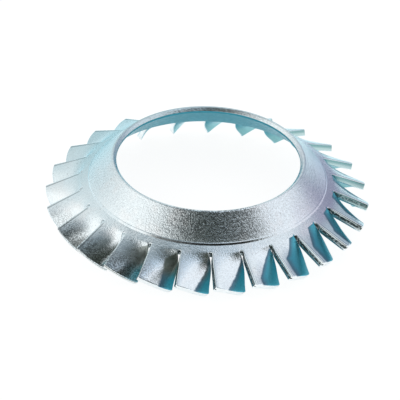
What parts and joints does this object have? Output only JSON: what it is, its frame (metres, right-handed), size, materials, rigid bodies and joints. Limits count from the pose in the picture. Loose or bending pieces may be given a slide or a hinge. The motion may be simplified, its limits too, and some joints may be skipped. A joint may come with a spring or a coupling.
{
  "type": "toothed lock washer",
  "caption": "Countersunk serrated lock washer of spring steel: a dished ring with a round hole at its small end and a crown of twisted teeth round its wide edge.",
  "frame": {"origin": "on the washer's axis, in the plane that the lowest tooth corners touch", "axes": "+Z along the axis from the toothed wide end to the small end with the hole; +X through the middle of one tooth's root"},
  "size_m": [0.023, 0.023, 0.0047],
  "materials": {
    "zinc": "bright zinc plate with a blue passivation, slightly mottled, deeper blue-green in the folds of the teeth"
  },
  "bodies": {
    "root": {"washer": "zinc"}
  },
  "joints": []
}
